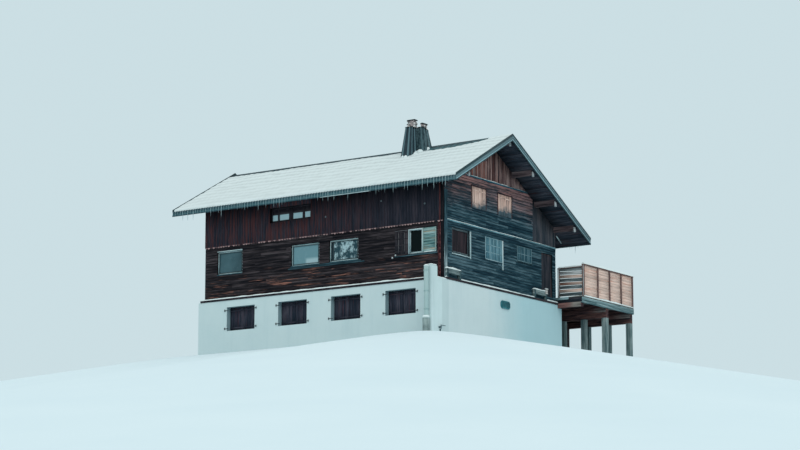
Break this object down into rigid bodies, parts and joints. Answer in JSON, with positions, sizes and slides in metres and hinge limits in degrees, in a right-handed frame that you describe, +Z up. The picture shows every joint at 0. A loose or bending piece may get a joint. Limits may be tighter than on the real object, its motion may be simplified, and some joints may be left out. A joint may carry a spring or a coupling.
{
  "type": "alpine chalet",
  "caption": "Alpine chalet with a rendered masonry storey, timber upper storeys, a snow-covered overhanging gable roof, clad chimneys and a side terrace.",
  "frame": {"origin": "the middle of the whole outline seen from above, at ground level", "axes": "+Z up; +Y from the front gable to the back along the ridge; +X to the right seen from the front, towards the terrace"},
  "size_m": [16.0998, 16.265, 10.735],
  "materials": {
    "render": "matte",
    "brown_logs": "matte",
    "grey_logs": "matte",
    "dark_boards": "matte",
    "red_boards": "matte",
    "rear_timber": "matte",
    "beam_timber": "matte",
    "roof_boards": "matte",
    "roof_metal": "satin",
    "verge_metal": "satin",
    "snow": "matte",
    "chimney_sheet": "satin",
    "chimney_stone": "rough",
    "frame_paint": "satin",
    "glass": "gloss",
    "dark_shutter": "matte",
    "pale_shutter": "matte",
    "door_timber": "satin",
    "trim_paint": "satin",
    "new_timber": "satin",
    "deck_timber": "matte",
    "rim_paint": "satin",
    "red_beam": "matte",
    "post_timber": "matte",
    "floor_boards": "satin",
    "floor_slab": "matte",
    "planter_timber": "matte",
    "vent_paint": "satin",
    "pipe_grey": "satin"
  },
  "bodies": {
    "house": {"back_masonry_wall": "render", "back_timber_wall": "rear_timber", "chimney_heads": "chimney_stone", "corner_board": "trim_paint", "corner_pier": "render", "door_frame": "door_timber", "door_sill_beam": "grey_logs", "front_gable_boards": "red_boards", "front_lower_wall": "grey_logs", "front_masonry_wall": "render", "front_rail_boards": "new_timber", "front_shutters": "pale_shutter", "front_upper_wall": "grey_logs", "front_window_frames": "frame_paint", "gable_bands": "trim_paint", "ground_floor": "floor_slab", "ledge_snow": "snow", "left_chimney": "chimney_sheet", "left_closed_shutter": "pale_shutter", "left_lower_wall": "brown_logs", "left_masonry_wall": "render", "left_open_shutter": "dark_shutter", "left_roof_deck": "roof_boards", "left_upper_wall": "dark_boards", "left_window_frames": "frame_paint", "living_floor": "floor_boards", "masonry_shutters": "dark_shutter", "pier_pipe": "pipe_grey", "planters": "planter_timber", "purlins": "beam_timber", "rail_frame": "new_timber", "rear_window_frames": "frame_paint", "ridge_beam": "beam_timber", "ridge_cap": "roof_metal", "right_chimney": "chimney_sheet", "right_masonry_wall": "render", "right_roof_deck": "roof_boards", "right_timber_wall": "rear_timber", "roof_sheet": "roof_metal", "roof_snow": "snow", "side_rail_slats": "new_timber", "sill_boards": "dark_boards", "terrace_back_boards": "dark_boards", "terrace_beams": "red_beam", "terrace_deck": "deck_timber", "terrace_posts": "post_timber", "terrace_rim": "rim_paint", "upper_floor": "floor_boards", "verge_boards": "verge_metal", "wall_beside_door": "grey_logs", "wall_over_door": "grey_logs", "wall_plates": "beam_timber", "wall_vent": "vent_paint", "window_glass": "glass", "window_sills": "trim_paint"},
    "door": {"entrance_door": "door_timber"}
  },
  "joints": [
    {"name": "entrance_door_hinge", "type": "hinge", "parent": "house", "child": "door", "pos_m": [2.695, -6.5505, 3.85], "axis": [0, 0, -1], "range_deg": [0, 90]}
  ]
}
